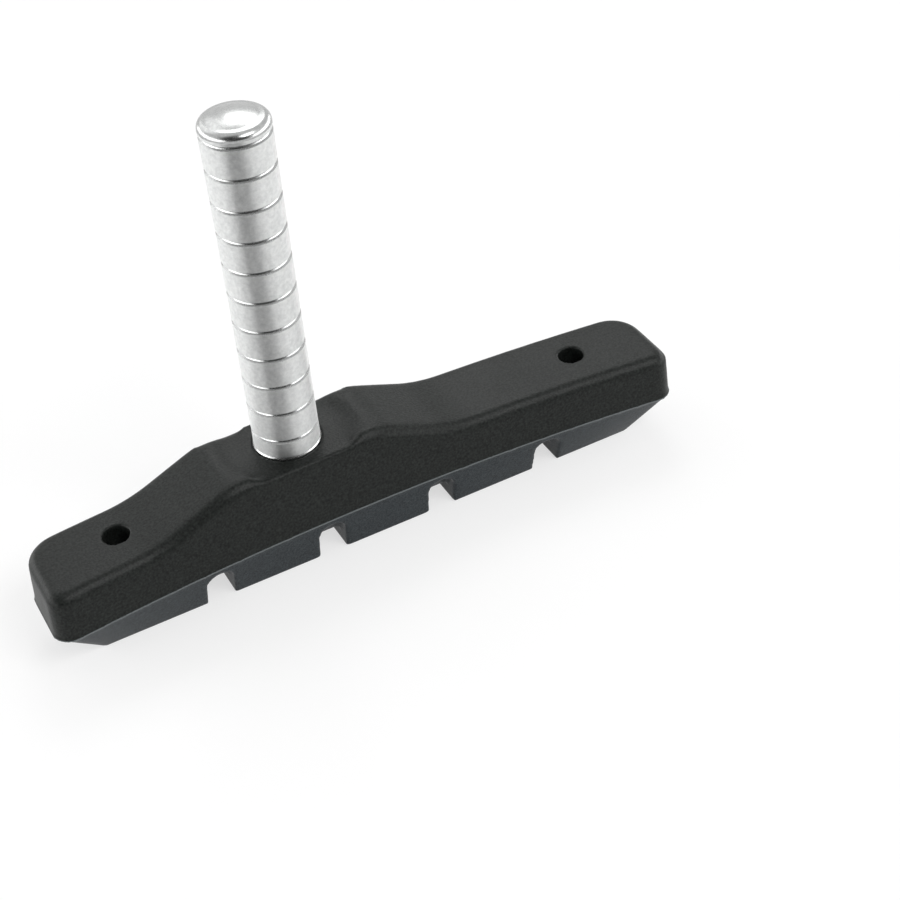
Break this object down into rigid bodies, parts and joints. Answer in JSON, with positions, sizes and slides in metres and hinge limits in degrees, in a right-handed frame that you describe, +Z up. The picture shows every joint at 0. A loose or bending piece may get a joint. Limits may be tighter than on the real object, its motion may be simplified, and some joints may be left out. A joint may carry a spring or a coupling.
{
  "type": "bicycle rim brake pad",
  "caption": "Curved black rubber brake block with water grooves across its braking face and a ring-grooved steel post that a cantilever brake arm clamps.",
  "frame": {"origin": "middle of the block's box, on the plane of the braking face", "axes": "+X along the pad towards the end farther from the post, -Y to the hollow side of the block's curve, +Z up the post"},
  "size_m": [0.0728, 0.013, 0.0516],
  "materials": {
    "moulded_rubber": "matte, fine moulded grain",
    "bright_steel": "turned and bright plated",
    "plate_steel": "plain rolled strip"
  },
  "bodies": {
    "root": {"rubber_block": "moulded_rubber", "post": "bright_steel", "backing_plate": "plate_steel"}
  },
  "joints": []
}
